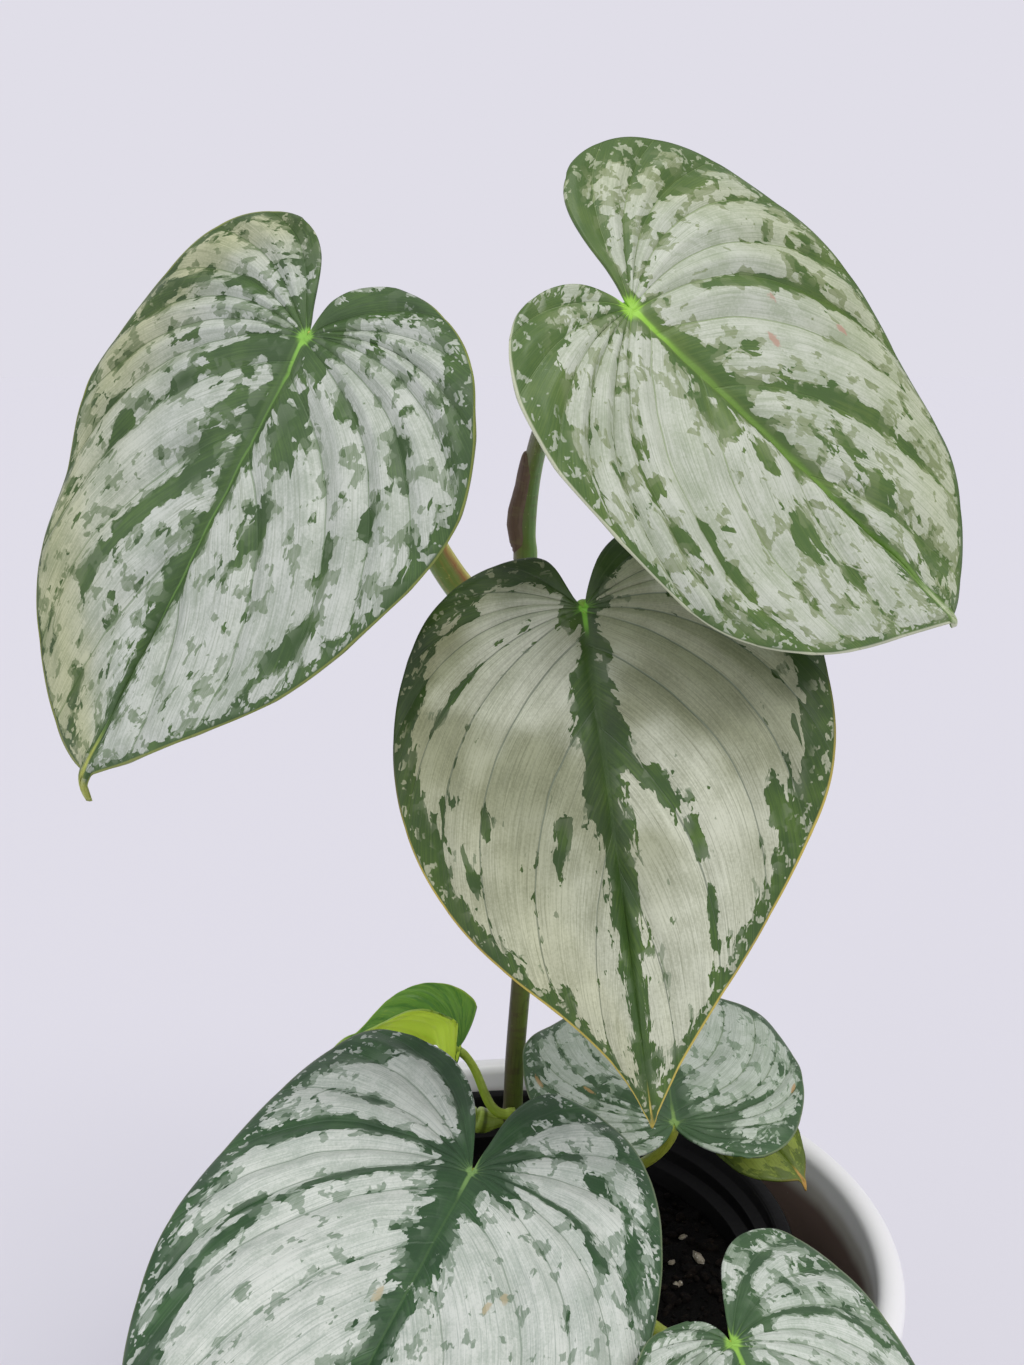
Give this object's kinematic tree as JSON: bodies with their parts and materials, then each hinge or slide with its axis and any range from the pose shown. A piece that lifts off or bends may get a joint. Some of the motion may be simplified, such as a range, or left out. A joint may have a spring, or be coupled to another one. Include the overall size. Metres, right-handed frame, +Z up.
{
  "type": "potted philodendron",
  "caption": "Potted climbing philodendron: an upright stem with heart-shaped silver-splashed leaves, in a black nursery pot set inside a plain round white cachepot.",
  "frame": {"origin": "middle of the cachepot's flat foot, on the surface it stands on", "axes": "+Z up along the cachepot's axis; -Y towards the side that the picture shows; +X to that viewer's right"},
  "size_m": [0.166, 0.197, 0.3392],
  "materials": {
    "white_glaze": "satin",
    "black_plastic": "satin",
    "potting_soil": "matt",
    "stem": "satin",
    "dry_sheath": "matt",
    "leaf_stalk": "satin",
    "young_leaf": "satin",
    "leaf": "satin"
  },
  "bodies": {
    "root": {"blade_back_right": "leaf", "blade_hidden": "leaf", "blade_lower_left": "leaf", "blade_lower_right": "leaf", "blade_middle": "leaf", "blade_upper_left": "leaf", "blade_upper_right": "leaf", "blade_young": "young_leaf", "main_stem": "stem", "nursery_pot": "black_plastic", "outer_pot": "white_glaze", "petiole_back_right": "leaf_stalk", "petiole_hidden": "leaf_stalk", "petiole_lower_left": "leaf_stalk", "petiole_lower_right": "leaf_stalk", "petiole_middle": "leaf_stalk", "petiole_upper_left": "leaf_stalk", "petiole_upper_right": "leaf_stalk", "petiole_young": "leaf_stalk", "side_shoot": "young_leaf", "soil": "potting_soil", "stem_sheath": "dry_sheath"}
  },
  "joints": []
}
